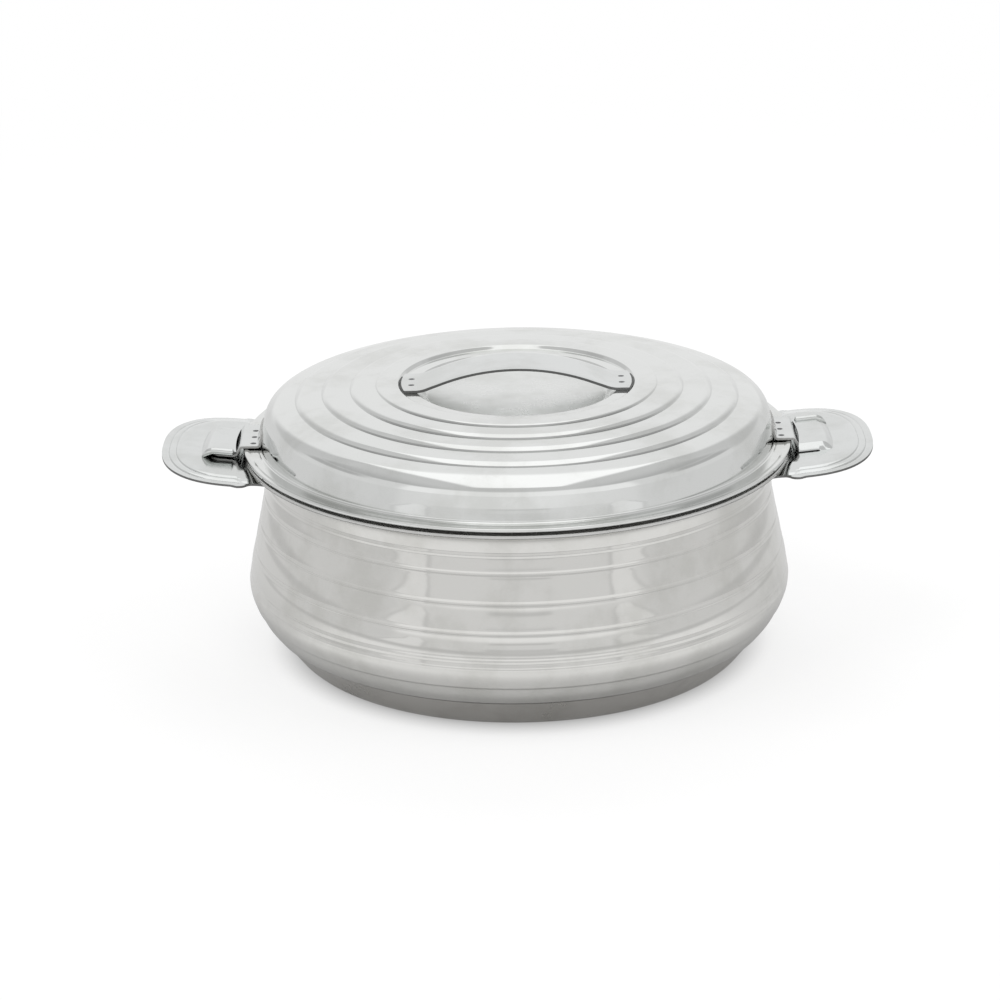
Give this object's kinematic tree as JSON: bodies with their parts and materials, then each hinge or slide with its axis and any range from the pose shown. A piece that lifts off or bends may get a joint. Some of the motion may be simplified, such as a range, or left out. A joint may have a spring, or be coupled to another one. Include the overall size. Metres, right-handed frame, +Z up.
{
  "type": "insulated casserole",
  "caption": "Round double-walled steel serving pot with foam insulation, pressed side handles and a domed lid that locks by a short turn.",
  "frame": {"origin": "centre of the base, on the surface that the pot stands on", "axes": "+Z up along the pot's axis, X through the two side handles, the right handle's pocket opens towards +Y"},
  "size_m": [0.367, 0.283, 0.1522],
  "materials": {
    "polished_steel": "polished stainless steel with faint turned lines",
    "lid_steel": "polished stainless steel with faint turned lines",
    "bowl_steel": "satin stainless steel",
    "pressed_steel": "bright pressed stainless steel",
    "insulation_foam": null,
    "plug_plastic": "matte dark plastic"
  },
  "bodies": {
    "pot": {"base_cap": "polished_steel", "base_fill_plug": "plug_plastic", "outer_shell": "polished_steel", "body_insulation": "insulation_foam", "inner_bowl": "bowl_steel", "handle_right": "pressed_steel", "handle_left": "pressed_steel"},
    "lid": {"lid_liner": "bowl_steel", "lid_fill_plug": "plug_plastic", "lid_insulation": "insulation_foam", "lid_top_shell": "lid_steel", "lid_strap_handle": "pressed_steel", "lock_bracket_right": "pressed_steel", "lock_bracket_left": "pressed_steel"}
  },
  "joints": [
    {"name": "lid_turn", "type": "hinge", "parent": "pot", "child": "lid", "pos_m": [0, 0, 0.11], "axis": [0, 0, 1], "range_deg": [0, 163]}
  ]
}
